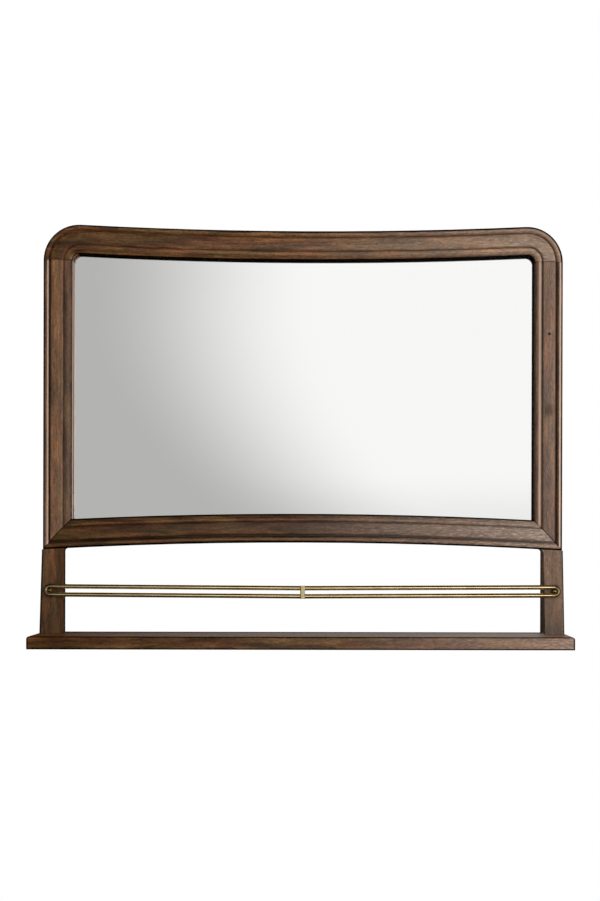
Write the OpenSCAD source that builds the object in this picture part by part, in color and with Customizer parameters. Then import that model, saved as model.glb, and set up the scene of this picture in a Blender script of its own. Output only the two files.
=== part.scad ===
// Wall mirror in a moulded hardwood frame, on two posts over a narrow shelf with a double brass rail.
// The wall is the plane y = 0 and the front faces -Y. The origin is midway between the two keyholes.

/* [Frame] */
// Width of the frame over its stiles
frame_w = 900; // [760:10:1040]
// Height of the frame, from the foot of its stiles to the crest of its top corners
frame_h = 562; // [460:2:680]
// Radius of the shallow arches that both rails follow
arch_r = 8000; // [6000:100:9900]
// Radius of the round top corners, at their outer edge
corner_r = 62; // [58:1:80]
// Height of the crest of the top corners above the keyholes
hang_drop = 130; // [120:5:200]

/* [Moulding] */
// Width of the moulding, from its outer edge to the sight edge
moulding_w = 50; // [48:1:54]
// Thickness of the moulding at the crown of its wide band
moulding_t = 28; // [26:0.5:34]
// Radius of the bead along the outer edge
bead_r = 6.2; // [5.4:0.2:6.6]
// How far the bead lies below the crown of the band
bead_drop = 4; // [2:0.5:6]
// Width of the groove between the bead and the band
groove_w = 1.6; // [1:0.2:2]
// How far the groove's floor lies below the crown of the band
groove_drop = 8; // [6:0.5:9]
// Width of the wide band
band_w = 22; // [20:0.2:23]
// Radius of the band's rounded shoulders
band_round = 3; // [1.5:0.5:4]
// Radius of the band's crowned face
crown_r = 60; // [40:5:120]
// Width of the narrow quirk between the band and the ovolo
quirk_w = 1; // [0.6:0.2:1.4]
// How far the quirk's floor lies below the crown of the band
quirk_drop = 5.4; // [5:0.2:7]
// Radius of the ovolo that falls to the sight edge
ovolo_r = 10.5; // [9.5:0.5:12]
// How far the ovolo's crest lies below the crown of the band
ovolo_drop = 3.5; // [2.5:0.5:5]
// Distance of the ovolo's crest from the sight edge
ovolo_in = 9.5; // [8:0.5:9.5]

/* [Glass and backing] */
// Thickness of the mirror glass
glass_t = 4; // [3:0.5:5]
// Width of the lip that covers the edge of the glass
lip_w = 8; // [6:0.5:9]
// Play between the edge of the glass and its rebate
glass_play = 1; // [0.5:0.1:1.5]
// Thickness of the backing panel
panel_t = 3; // [2.5:0.5:5]
// Width of the ledge that the backing panel is screwed to
panel_ledge = 8; // [7:0.5:9]
// Play between the edge of the panel and its rebate
panel_play = 0.5; // [0.3:0.1:1]
// How far the panel's back lies in from the back of the frame
panel_inset = 1; // [0.5:0.1:2]
// Number of panel screws along each rail
rail_screws_n = 5; // [3:1:7]
// Number of panel screws along each stile
stile_screws_n = 3; // [2:1:4]
// Diameter of a panel screw
panel_screw_d = 3; // [2.5:0.5:3.5]
// Length of a panel screw
panel_screw_l = 12; // [10:1:14]

/* [Posts] */
// Width of a post
post_w = 35; // [32:1:42]
// Height of a post, from the shelf to the foot of the frame
post_h = 143.5; // [110:0.5:200]
// Depth of a post at its top
post_top_d = 28; // [24:1:32]
// Depth of a post at its foot
post_foot_d = 46; // [38:1:60]
// Radius of the rounded edges along the front of a post
post_round = 2; // [1:0.5:3]
// Radius of the cove where a post runs into the bottom rail
cove_r = 5; // [3:0.5:8]

/* [Shelf] */
// How far the shelf reaches past the frame at each end
shelf_overhang = 5.5; // [3:0.5:20]
// Depth of the shelf
shelf_d = 115; // [90:1:160]
// Thickness of the shelf
shelf_t = 22; // [18:1:28]
// Radius of the shelf's long front edges
shelf_round = 3; // [1.5:0.5:6]
// Radius of the shelf's upper end edges
shelf_end_round = 5; // [2:0.5:8]

/* [Brass rail] */
// Diameter of the rail's rod
rod_d = 8; // [6:0.5:9]
// Distance between the upper and the lower run of the rod
rod_pitch = 14; // [13:0.5:20]
// Height of the rail above the shelf, at its ends
rail_rise = 73; // [50:1:95]
// How far the rail sags between its ends and mid-span
rail_sag = 2.4; // [0:0.2:5]
// How far the rail's ends lie in from the outer faces of the posts
rail_inset = 6; // [2:0.5:10]
// Width of the spacer that joins the two halves at mid-span
spacer_w = 8; // [6:0.5:12]
// Thickness of the spacer from front to back
spacer_t = 9; // [8:0.5:12]
// Radius of the spacer's long edges
spacer_round = 1.5; // [0.5:0.5:2.5]
// Diameter of the screw in each eye of the rail
rail_screw_d = 4; // [3:0.5:4.5]
// Diameter of that screw's domed head
rail_head_d = 9; // [8.5:0.5:11]
// Height of that screw's domed head
rail_head_h = 2.6; // [2:0.2:4]
// Depth of that screw in the post
rail_screw_bite = 20; // [15:1:24]

/* [Joinery] */
// Diameter of the wooden dowels
dowel_d = 8; // [6:0.5:8]
// Length of the dowels between the top rail and the stiles
stile_dowel_l = 44; // [30:2:48]
// Length of the dowels between the posts and the frame
post_dowel_l = 58; // [40:2:60]
// Diameter of the screws that hold the shelf
shelf_screw_d = 4.5; // [4:0.5:5]
// Length of the screws that hold the shelf
shelf_screw_l = 60; // [50:5:70]
// Diameter of the countersunk heads of those screws
shelf_head_d = 9; // [8:0.5:10]
// Distance between the two screws in each post
shelf_screw_pitch = 18; // [12:1:20]

/* [Hangers] */
// Width of a keyhole plate
plate_w = 16; // [15:1:18]
// Length of a keyhole plate
plate_l = 50; // [46:1:56]
// Thickness of a keyhole plate
plate_t = 2; // [1.5:0.5:3]
// Diameter of the keyhole's round entry
key_d = 9; // [8:0.5:10]
// Width of the keyhole's slot
slot_w = 4.4; // [3.8:0.2:5]
// Height of the slot's end above the entry
slot_rise = 10; // [8:1:12]
// Depth of the pocket for the wall screw's head, behind the plate
pocket_depth = 8; // [6:0.5:9]
// Distance between the two screws of a plate
plate_screw_pitch = 36; // [35:1:38]
// Diameter of a plate's screws
plate_screw_d = 3; // [2.5:0.5:3.5]
// Length of a plate's screws
plate_screw_l = 14; // [10:1:16]

/* [Clearances] */
// Gap between pieces that lie face to face
seat_gap = 0.1; // [0.05:0.05:0.2]
// Gap round a dowel or a screw in its hole
hole_gap = 0.05; // [0.05:0.05:0.15]
// Gap between a dowel's end and the bottom of its hole
end_gap = 1; // [0.5:0.5:2]

/* [Hidden] */

wood = "#5c4030";
glass_grey = "#c9cdcd";
board_brown = "#8a6a4a";
dowel_wood = "#c8a878";
brass = "#c9a85c";
zinc = "#a8abad";

round_fn = 48;      // for holes, dowels and screws
arch_fn = 1440;     // for the wide arches
arc_step = 9;       // degrees between the points of a rounded outline
overcut = 1;        // how far a cutting shape runs past the face that it opens

// Levels, upwards from the keyholes, as seen from the front
half_w = frame_w / 2;
crest_y = hang_drop;
foot_y = crest_y - frame_h;
shelf_top_y = foot_y - post_h;
rail_y = shelf_top_y + rail_rise;

// The round top corners, and the arches that they run into without a kink
corner_x = half_w - corner_r;
corner_y = crest_y - corner_r;
lean = asin(corner_x / (arch_r + corner_r));
top_centre_y = corner_y + (arch_r + corner_r) * cos(lean);
foot_centre_y = foot_y - sqrt(pow(arch_r, 2) - pow(half_w, 2));

// Distances from the outer edge, across the moulding
band_from = 2 * bead_r + groove_w;
band_to = band_from + band_w;
ovolo_from = band_to + quirk_w;
ovolo_mid = moulding_w - ovolo_in;
glass_rebate = moulding_w - lip_w;
panel_rebate = glass_rebate - panel_ledge;
panel_screw_in = glass_rebate - panel_ledge / 2;
dowel_in = [band_from, panel_rebate - dowel_d];

// Depths, forward from the wall
panel_front = panel_inset + panel_t;
glass_back = panel_front + seat_gap;
lip_back = glass_back + glass_t + seat_gap;
dowel_depth = lip_back + dowel_d / 2 - seat_gap;
post_dowel_depth = post_top_d / 2 - dowel_d / 2;

// Places along the posts, and the slope of their front faces
post_mid_x = half_w - post_w / 2;
post_dowel_x = [half_w - dowel_d - 1, half_w - post_w + dowel_d + 1];
post_slope = atan((post_foot_d - post_top_d) / post_h);
rail_depth = post_foot_d - rail_rise * tan(post_slope);
rod_axis = rod_d / 2 + seat_gap;
eye_x = half_w - rail_inset - rod_d / 2 - rod_pitch / 2;
rail_run = eye_x - spacer_w / 2;
rail_droop = asin(rail_sag / rail_run);
rail_head_seat = rod_axis + seat_gap + sqrt(pow(rod_d / 2, 2) - pow((rod_pitch - rail_head_d) / 2, 2));
shelf_screw_depth = [(post_foot_d - shelf_screw_pitch) / 2, (post_foot_d + shelf_screw_pitch) / 2];

// Places on the keyhole plates
plate_x = half_w - panel_rebate / 2;
plate_mid_y = slot_rise / 2;

// Rounds a size to what both sweeps of a rail can share exactly
function hundredths(v) = round(v * 100) / 100;

// Points of a circular arc, evenly spaced, with both ends
function arc(centre, r, from, to) =
    let (steps = max(2, ceil(abs(to - from) / arc_step)))
    [for (i = [0:steps]) let (a = from + (to - from) * i / steps) centre + r * [cos(a), sin(a)]];

// The moulding's section as [distance in from the outer edge, depth forward from the wall]
function bead_part() =
    let (centre = [bead_r, moulding_t - bead_drop - bead_r],
         groove = asin((moulding_t - groove_drop - centre[1]) / bead_r))
    concat([[0, 0]], arc(centre, bead_r, 180, groove), [[band_from, moulding_t - groove_drop]]);
function band_part() =
    let (mid = band_from + band_w / 2,
         crown = [mid, moulding_t - crown_r],
         reach = band_w / 2 - band_round,
         rise = sqrt(pow(crown_r - band_round, 2) - pow(reach, 2)),
         tilt = atan(reach / rise))
    concat(arc([mid - reach, crown[1] + rise], band_round, 180, 90 + tilt),
           arc(crown, crown_r, 90 + tilt, 90 - tilt),
           arc([mid + reach, crown[1] + rise], band_round, 90 - tilt, 0));
function ovolo_part() =
    let (centre = [ovolo_mid, moulding_t - ovolo_drop - ovolo_r],
         from = acos((ovolo_from - ovolo_mid) / ovolo_r),
         to = acos(ovolo_in / ovolo_r),
         quirk = moulding_t - quirk_drop)
    concat([[band_to, quirk], [ovolo_from, quirk]], arc(centre, ovolo_r, from, to));
function rebate_part() = [
    [moulding_w, lip_back], [glass_rebate, lip_back], [glass_rebate, glass_back],
    [panel_rebate, glass_back], [panel_rebate, 0]
];
section = [
    for (p = concat(bead_part(), band_part(), ovolo_part(), rebate_part()))
    [hundredths(p[0]), hundredths(p[1])]
];

// The outline that runs round the frame at a distance in from its outer edge
function arch_y(centre_y, x, inset) = centre_y + sqrt(pow(arch_r + inset, 2) - pow(x, 2));
function top_y(x, inset) = 2 * top_centre_y - arch_y(top_centre_y, x, inset);
function foot_arch_y(x, inset) = arch_y(foot_centre_y, x, inset);
function right_outline(inset) =
    let (side = half_w - inset, steps = 12)
    concat([for (i = [0:steps - 1]) [side * i / steps, foot_arch_y(side * i / steps, inset)]],
           [[side, foot_arch_y(side, inset)]],
           arc([corner_x, corner_y], corner_r - inset, 0, 90 + lean),
           [for (i = [steps - 1:-1:0])
               let (x = (corner_x - (corner_r - inset) * sin(lean)) * i / steps) [x, top_y(x, inset)]]);
function outline(inset) =
    let (right = right_outline(inset), last = len(right) - 1)
    concat(right, [for (i = [last - 1:-1:1]) [-right[i][0], right[i][1]]]);

// Both rails are drawn in front view, with their depth upwards, and this stands them up at the wall
module upright() {
    rotate([90, 0, 0]) children();
}

module both_sides() {
    children();
    mirror([1, 0, 0]) children();
}

// A piece that stands on the right, or its mirror image on the left
module on_side(side) {
    mirror([side == "left" ? 1 : 0, 0, 0]) children();
}

// ---- The moulded frame ----

// Right half of the top rail, drawn about the corner's centre with the meeting plane along +X
module top_rail_half() {
    sweep = ceil(lean + 0.2);
    intersection() {
        translate([corner_x, corner_y, 0])
            rotate(90 + lean) {
                rotate_extrude(start = -(90 + lean), angle = 90 + lean, $fn = 96)
                    polygon([for (p = section) [corner_r - p[0], p[1]]]);
                translate([arch_r + corner_r, 0, 0])
                    rotate_extrude(start = 180 - sweep, angle = sweep, $fn = arch_fn)
                        polygon([for (p = section) [arch_r + p[0], p[1]]]);
            }
        translate([0, 0, -overcut])
            cube([frame_w, crest_y + frame_w, moulding_t + 2 * overcut]);
    }
}

// What lies below the mitre in the right half, where the stile's and the rail's mouldings meet
module below_mitre() {
    toe = [half_w, foot_y];
    heel = [half_w - moulding_w, foot_arch_y(half_w - moulding_w, moulding_w)];
    out = toe + (toe - heel) / 5;
    in = heel + (heel - toe);
    translate([0, 0, -overcut])
        linear_extrude(moulding_t + 2 * overcut)
            polygon([out, in, [0, in[1]], [0, foot_y - moulding_w], [out[0], foot_y - moulding_w]]);
}

module bottom_rail_half() {
    sweep = ceil(asin(half_w / arch_r) * 10 + 0.5) / 10;
    intersection() {
        translate([0, foot_centre_y, 0])
            rotate_extrude(start = 90 - sweep, angle = sweep, $fn = arch_fn)
                polygon([for (p = section) [arch_r + p[0], p[1]]]);
        below_mitre();
    }
}

module stile_blank() {
    difference() {
        translate([0, corner_y, 0])
            rotate([90, 0, 0])
                linear_extrude(corner_y - foot_y)
                    polygon([for (p = section) [half_w - p[0], p[1]]]);
        below_mitre();
    }
}

// ---- Holes, dowels and screws, drawn along +Z from their mouth or head ----

module hole(d, l) {
    translate([0, 0, -overcut]) cylinder(d = d + 2 * hole_gap, h = l + overcut, $fn = round_fn);
}

module countersink(d, head_d) {
    sink = (head_d - d) / 2;
    translate([0, 0, -hole_gap])
        cylinder(d1 = head_d + 4 * hole_gap, d2 = d + 2 * hole_gap, h = sink + hole_gap, $fn = round_fn);
}

module countersunk_screw(d, head_d, l) {
    sink = (head_d - d) / 2;
    tip = d;
    cylinder(d1 = head_d, d2 = d, h = sink, $fn = round_fn);
    cylinder(d = d, h = l - tip, $fn = round_fn);
    translate([0, 0, l - tip]) cylinder(d1 = d, d2 = d / 6, h = tip, $fn = round_fn);
}

module dowel(l) {
    chamfer = dowel_d / 8;
    cylinder(d1 = dowel_d - 2 * chamfer, d2 = dowel_d, h = chamfer, $fn = round_fn);
    translate([0, 0, chamfer]) cylinder(d = dowel_d, h = l - 2 * chamfer, $fn = round_fn);
    translate([0, 0, l - chamfer])
        cylinder(d1 = dowel_d, d2 = dowel_d - 2 * chamfer, h = chamfer, $fn = round_fn);
}

// Each of these draws its children at every place of one kind, in front view
module at_panel_screws() {
    rail_span = 2 * (corner_x - corner_r / 2);
    stile_span = corner_y - foot_y - 2 * corner_r;
    for (i = [0:rail_screws_n - 1]) {
        x = rail_span * (i / (rail_screws_n - 1) - 0.5);
        translate([x, top_y(x, panel_screw_in), panel_inset]) children();
        translate([x, foot_arch_y(x, panel_screw_in), panel_inset]) children();
    }
    for (i = [0:stile_screws_n - 1])
        both_sides()
            translate([half_w - panel_screw_in,
                       corner_y - corner_r / 2 - stile_span * i / (stile_screws_n - 1), panel_inset])
                children();
}

module at_stile_dowels() {
    for (inset = dowel_in)
        translate([half_w - inset, corner_y, dowel_depth])
            rotate([-90, 0, 0]) translate([0, 0, -stile_dowel_l / 2]) children();
}

module at_post_dowels() {
    for (x = post_dowel_x)
        translate([x, foot_y, post_dowel_depth])
            rotate([-90, 0, 0]) translate([0, 0, -post_dowel_l / 2]) children();
}

module at_shelf_screws() {
    for (depth = shelf_screw_depth)
        translate([post_mid_x, shelf_top_y - shelf_t, depth]) rotate([-90, 0, 0]) children();
}

module at_plate_screws() {
    for (end = [-1, 1])
        translate([plate_x, plate_mid_y + end * plate_screw_pitch / 2, 0]) children();
}

// The height of the rail's ends on the posts' sloping front faces, with +Z out of the face
module on_post_face() {
    translate([0, rail_y, rail_depth]) rotate([-post_slope, 0, 0]) children();
}

module stile_dowel_holes() {
    both_sides()
        at_stile_dowels()
            translate([0, 0, -end_gap])
                cylinder(d = dowel_d + 2 * hole_gap, h = stile_dowel_l + 2 * end_gap, $fn = round_fn);
}

module post_dowel_holes() {
    both_sides()
        at_post_dowels()
            translate([0, 0, -end_gap])
                cylinder(d = dowel_d + 2 * hole_gap, h = post_dowel_l + 2 * end_gap, $fn = round_fn);
}

module panel_screw_holes() {
    at_panel_screws() hole(panel_screw_d, panel_screw_l + end_gap);
}

// ---- Keyhole hangers ----

module slot_shape(w, from, to) {
    translate([0, from]) circle(d = w, $fn = round_fn);
    translate([0, to]) circle(d = w, $fn = round_fn);
    translate([-w / 2, from]) square([w, to - from]);
}

module plate_shape(grow) {
    straight = (plate_l - plate_w) / 2;
    slot_shape(plate_w + 2 * grow, plate_mid_y - straight, plate_mid_y + straight);
}

// The plate's recess in the back of the stile, and the deeper pocket for the wall screw's head
module hanger_recess() {
    translate([plate_x, 0, -overcut])
        linear_extrude(plate_t + seat_gap + overcut) plate_shape(seat_gap);
    translate([plate_x, 0, 0])
        linear_extrude(plate_t + pocket_depth) slot_shape(key_d + 2, 0, slot_rise);
    at_plate_screws() hole(plate_screw_d, plate_screw_l + end_gap);
}

module hanger() {
    head_d = plate_screw_d + 2 * (plate_t - 0.5);
    color(zinc)
        upright()
            difference() {
                translate([plate_x, 0, 0])
                    linear_extrude(plate_t)
                        difference() {
                            plate_shape(0);
                            circle(d = key_d, $fn = round_fn);
                            slot_shape(slot_w, 0, slot_rise);
                        }
                at_plate_screws() {
                    hole(plate_screw_d, plate_t + overcut);
                    countersink(plate_screw_d, head_d);
                }
            }
}

// ---- The pieces ----

module top_rail() {
    color(wood)
        upright()
            difference() {
                both_sides() top_rail_half();
                stile_dowel_holes();
                panel_screw_holes();
            }
}

module bottom_rail() {
    color(wood)
        upright()
            difference() {
                both_sides() bottom_rail_half();
                post_dowel_holes();
                panel_screw_holes();
            }
}

module stile() {
    color(wood)
        upright()
            difference() {
                stile_blank();
                stile_dowel_holes();
                post_dowel_holes();
                panel_screw_holes();
                hanger_recess();
            }
}

module stile_dowels() {
    color(dowel_wood)
        upright()
            both_sides()
                at_stile_dowels() dowel(stile_dowel_l);
}

module mirror_glass() {
    color(glass_grey)
        upright()
            translate([0, 0, glass_back])
                linear_extrude(glass_t) polygon(outline(glass_rebate + glass_play));
}

module backing_panel() {
    color(board_brown)
        upright()
            difference() {
                translate([0, 0, panel_inset])
                    linear_extrude(panel_t) polygon(outline(panel_rebate + panel_play));
                panel_screw_holes();
                at_panel_screws() countersink(panel_screw_d, 2 * panel_screw_d);
            }
}

module panel_screws() {
    color(zinc)
        upright()
            at_panel_screws() countersunk_screw(panel_screw_d, 2 * panel_screw_d, panel_screw_l);
}

// The post's front outline, with its top cut to the arch and a cove on its inner side
module post_front_shape() {
    inner = half_w - post_w;
    cove_x = inner - cove_r;
    cove_y = foot_arch_y(cove_x, 0) - seat_gap - cove_r;
    polygon(concat(
        [[half_w, shelf_top_y + seat_gap], [half_w, foot_y - seat_gap],
         [inner, foot_arch_y(inner, 0) - seat_gap]],
        arc([cove_x, cove_y], cove_r, 90, 0),
        [[inner, shelf_top_y + seat_gap]]
    ));
}

module post_side_shape() {
    top = foot_y + moulding_w;
    top_d = post_foot_d - (top - shelf_top_y) * tan(post_slope);
    polygon([[0, shelf_top_y], [post_foot_d, shelf_top_y], [top_d, top], [0, top]]);
}

// What is cut from a sharp edge, along +Z with the edge at the origin, to leave it rounded
module edge_rounding(r, l) {
    linear_extrude(l)
        polygon(concat([[overcut, overcut], [overcut, -r]], arc([-r, -r], r, 0, 90), [[-r, overcut]]));
}

// The front edges are rounded from the shelf up, on the outside to the frame and inside to the cove
module post_roundings() {
    inner = half_w - post_w;
    low = rail_rise + overcut;
    outer_top = foot_y - rail_y + overcut;
    inner_top = foot_arch_y(inner - cove_r, 0) - cove_r - rail_y;
    on_post_face() {
        translate([half_w, -low, 0])
            rotate([-90, 0, 0]) mirror([0, 1, 0]) edge_rounding(post_round, low + outer_top);
        translate([inner, -low, 0])
            rotate([-90, 0, 0]) mirror([0, 1, 0]) mirror([1, 0, 0])
                edge_rounding(post_round, low + inner_top);
    }
}

module post() {
    color(wood)
        upright()
            difference() {
                intersection() {
                    linear_extrude(post_foot_d) post_front_shape();
                    translate([half_w - post_w - cove_r - overcut, 0, 0])
                        rotate([0, -90, 0]) mirror([0, 0, 1])
                            linear_extrude(post_w + cove_r + 2 * overcut) post_side_shape();
                }
                post_roundings();
                post_dowel_holes();
                at_shelf_screws() hole(shelf_screw_d, shelf_screw_l + end_gap);
                on_post_face()
                    translate([eye_x, 0, 0])
                        mirror([0, 0, 1]) hole(rail_screw_d, rail_screw_bite + end_gap);
            }
}

module post_dowels() {
    color(dowel_wood)
        upright()
            both_sides()
                at_post_dowels() dowel(post_dowel_l);
}

// The shelf is the overlap of its rounded side profile and its rounded front outline
module shelf_side_shape() {
    low = shelf_top_y - shelf_t;
    polygon(concat(
        [[0, low]],
        arc([shelf_d - shelf_round, low + shelf_round], shelf_round, -90, 0),
        arc([shelf_d - shelf_round, shelf_top_y - shelf_round], shelf_round, 0, 90),
        [[0, shelf_top_y]]
    ));
}

module shelf_front_shape() {
    end_x = half_w + shelf_overhang;
    low = shelf_top_y - shelf_t;
    right = concat([[end_x, low]],
                   arc([end_x - shelf_end_round, shelf_top_y - shelf_end_round], shelf_end_round, 0, 90));
    polygon(concat(right, [for (i = [len(right) - 1:-1:0]) [-right[i][0], right[i][1]]]));
}

module shelf_board() {
    shelf_w = frame_w + 2 * shelf_overhang;
    color(wood)
        upright()
            difference() {
                intersection() {
                    linear_extrude(shelf_d) shelf_front_shape();
                    translate([-shelf_w / 2 - overcut, 0, 0])
                        rotate([0, -90, 0]) mirror([0, 0, 1])
                            linear_extrude(shelf_w + 2 * overcut) shelf_side_shape();
                }
                both_sides()
                    at_shelf_screws() {
                        hole(shelf_screw_d, shelf_t + overcut);
                        countersink(shelf_screw_d, shelf_head_d);
                    }
            }
}

module shelf_screws() {
    color(zinc)
        upright()
            both_sides()
                at_shelf_screws() countersunk_screw(shelf_screw_d, shelf_head_d, shelf_screw_l);
}

// Half of the rail: one rod bent round the screw on the post, with both ends brazed to the spacer
module rail_loop() {
    color(brass)
        upright()
            on_post_face()
                translate([eye_x, 0, rod_axis])
                    rotate(rail_droop) {
                        rotate_extrude(start = -90, angle = 180, $fn = 96)
                            translate([rod_pitch / 2, 0]) circle(d = rod_d, $fn = round_fn);
                        for (run = [-1, 1])
                            translate([0, run * rod_pitch / 2, 0])
                                rotate([0, -90, 0])
                                    cylinder(d = rod_d, h = rail_run - seat_gap, $fn = round_fn);
                    }
}

module rail_spacer() {
    x = spacer_w / 2 - spacer_round;
    y = spacer_t / 2 - spacer_round;
    length = rod_pitch + rod_d;
    color(brass)
        upright()
            on_post_face()
                translate([0, length / 2 - rail_sag, rod_axis])
                    rotate([90, 0, 0])
                        linear_extrude(length)
                            polygon(concat(arc([x, y], spacer_round, 0, 90),
                                           arc([-x, y], spacer_round, 90, 180),
                                           arc([-x, -y], spacer_round, 180, 270),
                                           arc([x, -y], spacer_round, 270, 360)));
}

module rail_screw() {
    dome_r = (pow(rail_head_d / 2, 2) + pow(rail_head_h, 2)) / (2 * rail_head_h);
    slot = rail_head_h / 3;
    tip = rail_screw_d;
    shank = rail_head_seat + rail_screw_bite - tip;
    difference() {
        intersection() {
            translate([0, 0, rail_head_h - dome_r]) sphere(r = dome_r, $fn = 96);
            cylinder(d = 2 * rail_head_d, h = rail_head_h, $fn = round_fn);
        }
        translate([0, 0, rail_head_h]) cube([2 * rail_head_d, slot, 2 * slot], center = true);
    }
    translate([0, 0, -shank]) cylinder(d = rail_screw_d, h = shank + rail_head_h / 4, $fn = round_fn);
    translate([0, 0, -shank - tip])
        cylinder(d1 = rail_screw_d / 6, d2 = rail_screw_d, h = tip, $fn = round_fn);
}

module rail_screws() {
    color(brass)
        upright()
            on_post_face()
                both_sides()
                    translate([eye_x, 0, rail_head_seat]) rail_screw();
}

module hanger_screws() {
    head_d = plate_screw_d + 2 * (plate_t - 0.5);
    color(zinc)
        upright()
            both_sides()
                at_plate_screws() countersunk_screw(plate_screw_d, head_d, plate_screw_l);
}

top_rail();
on_side("left") stile();  // left_stile
on_side("right") stile();  // right_stile
bottom_rail();
stile_dowels();
mirror_glass();
backing_panel();
panel_screws();
on_side("left") post();  // left_post
on_side("right") post();  // right_post
post_dowels();
shelf_board();
shelf_screws();
on_side("left") rail_loop();  // left_rail_loop
on_side("right") rail_loop();  // right_rail_loop
rail_spacer();
rail_screws();
on_side("left") hanger();  // left_hanger
on_side("right") hanger();  // right_hanger
hanger_screws();
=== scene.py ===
"""Wall mirror with shelf: the looks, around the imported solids. Lengths are in metres, the wall is y = 0."""

import math

import bmesh
import bpy
from mathutils import Euler, Matrix, Vector


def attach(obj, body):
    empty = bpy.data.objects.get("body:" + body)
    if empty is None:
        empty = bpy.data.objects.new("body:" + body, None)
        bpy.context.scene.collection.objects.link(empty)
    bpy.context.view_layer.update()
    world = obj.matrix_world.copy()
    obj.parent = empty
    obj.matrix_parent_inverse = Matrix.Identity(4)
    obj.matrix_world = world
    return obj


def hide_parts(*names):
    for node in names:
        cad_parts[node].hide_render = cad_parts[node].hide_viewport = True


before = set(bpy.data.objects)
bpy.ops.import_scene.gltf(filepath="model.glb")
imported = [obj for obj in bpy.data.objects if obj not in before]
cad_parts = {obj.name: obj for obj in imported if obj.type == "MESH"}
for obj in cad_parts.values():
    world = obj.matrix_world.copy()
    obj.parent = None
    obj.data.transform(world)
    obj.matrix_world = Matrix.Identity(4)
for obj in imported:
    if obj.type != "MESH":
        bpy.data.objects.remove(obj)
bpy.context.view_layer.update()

BODY = "root"
MM = 0.001

# ---- sizes that the scene shares with the part ----
HALF_W = 450 * MM
CREST_Z = 130 * MM
FOOT_Z = -432 * MM
ARCH_R = 8000 * MM
CORNER_R = 62 * MM
MOULDING_W = 50 * MM
POST_H = 143.5 * MM
POST_TOP_D = 28 * MM
POST_FOOT_D = 46 * MM
SHELF_OVERHANG = 5.5 * MM
SHELF_T = 22 * MM

SHELF_HALF_W = HALF_W + SHELF_OVERHANG
SHELF_TOP_Z = FOOT_Z - POST_H
SHELF_UNDER_Z = SHELF_TOP_Z - SHELF_T

# The round top corners, and the arches that they run into
CORNER_X = HALF_W - CORNER_R
CORNER_Z = CREST_Z - CORNER_R
LEAN = math.asin(CORNER_X / (ARCH_R + CORNER_R))
TOP_CENTRE_Z = CORNER_Z + (ARCH_R + CORNER_R) * math.cos(LEAN)
FOOT_CENTRE_Z = FOOT_Z - math.sqrt(ARCH_R ** 2 - HALF_W ** 2)

# The brass rail: its eyes turn round the screws on the posts' sloping faces
ROD_D = 8 * MM
ROD_PITCH = 14 * MM
RAIL_INSET = 6 * MM
RAIL_RISE = 73 * MM
RAIL_SAG = 2.4 * MM
SPACER_W = 8 * MM
SEAT_GAP = 0.1 * MM
EYE_X = HALF_W - RAIL_INSET - (ROD_PITCH + ROD_D) / 2
RAIL_Z = SHELF_TOP_Z + RAIL_RISE
POST_SLOPE = math.atan((POST_FOOT_D - POST_TOP_D) / POST_H)
RAIL_DEPTH = POST_FOOT_D - RAIL_RISE * math.tan(POST_SLOPE)


# ---- small helpers ----
def srgb(code):
    """An sRGB hex colour as linear RGBA."""
    values = [int(code[i:i + 2], 16) / 255 for i in (1, 3, 5)]
    linear = [v / 12.92 if v <= 0.04045 else ((v + 0.055) / 1.055) ** 2.4 for v in values]
    return (*linear, 1.0)


WHITE = srgb("#ffffff")


def feed(node, inputs):
    """Gives a node's inputs, by name or in their order, values or other nodes' sockets."""
    pairs = inputs.items() if isinstance(inputs, dict) else enumerate(inputs)
    for key, value in pairs:
        if isinstance(value, bpy.types.NodeSocket):
            node.id_data.links.new(value, node.inputs[key])
        else:
            node.inputs[key].default_value = value
    return node


def add_node(tree, kind, inputs=(), **settings):
    """Adds one node with its settings, and feeds its inputs."""
    made = tree.nodes.new(kind)
    for name, value in settings.items():
        setattr(made, name, value)
    return feed(made, inputs)


def set_stops(ramp_node, stops):
    """Gives a colour ramp its stops, as pairs of place and sRGB hex colour, and returns its colour."""
    ramp = ramp_node.color_ramp
    while len(ramp.elements) > 1:
        ramp.elements.remove(ramp.elements[-1])
    ramp.elements[0].position = stops[0][0]
    ramp.elements[0].color = srgb(stops[0][1])
    for place, code in stops[1:]:
        ramp.elements.new(place).color = srgb(code)
    return ramp_node.outputs[0]


def product(tree, *factors):
    """All the factors, multiplied one after another."""
    result = factors[0]
    for factor in factors[1:]:
        result = add_node(tree, "ShaderNodeMath", (result, factor), operation="MULTIPLY").outputs[0]
    return result


def new_material(name):
    """An empty material, with its tree, its shader and its output joined."""
    material = bpy.data.materials.new(name)
    material.use_nodes = True
    tree = material.node_tree
    tree.nodes.clear()
    shader = add_node(tree, "ShaderNodeBsdfPrincipled")
    add_node(tree, "ShaderNodeOutputMaterial", {"Surface": shader.outputs[0]})
    return material, tree, shader


# ---- stained hardwood ----
# How the wood is at a place, as the wear_and_shading attribute says it, painted shade and highlights
# included. A value between two of these mixes them
BLACK = -2     # painted shade: an edge painted nearly black
HOLLOW = -1    # a hollow, darker with stain and painted shade; where hollow_light is over 1 it is painted lighter instead
PLAIN = 0
WORN = 1       # a crest worn lighter by handling, with painted highlight on it; faces that look up take it as painted light
PALE = 2       # a crest painted pale: worn-through wood and painted highlight

# The stain's colours, from where most of it stayed to where least did
RED_BROWNS = [(0.34, "#452a18"), (0.46, "#573620"), (0.56, "#684227"), (0.68, "#7b4f30")]
OLIVE_BROWNS = [(0.34, "#45301a"), (0.46, "#573e22"), (0.56, "#684a2a"), (0.68, "#7b5934")]
# Pale worn wood and pore filling, also the colour of the painted highlights and painted sheen
PALE_WOOD_AND_HIGHLIGHT = "#b39b8b"
DARKEST_FIGURE = 0.2

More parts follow.
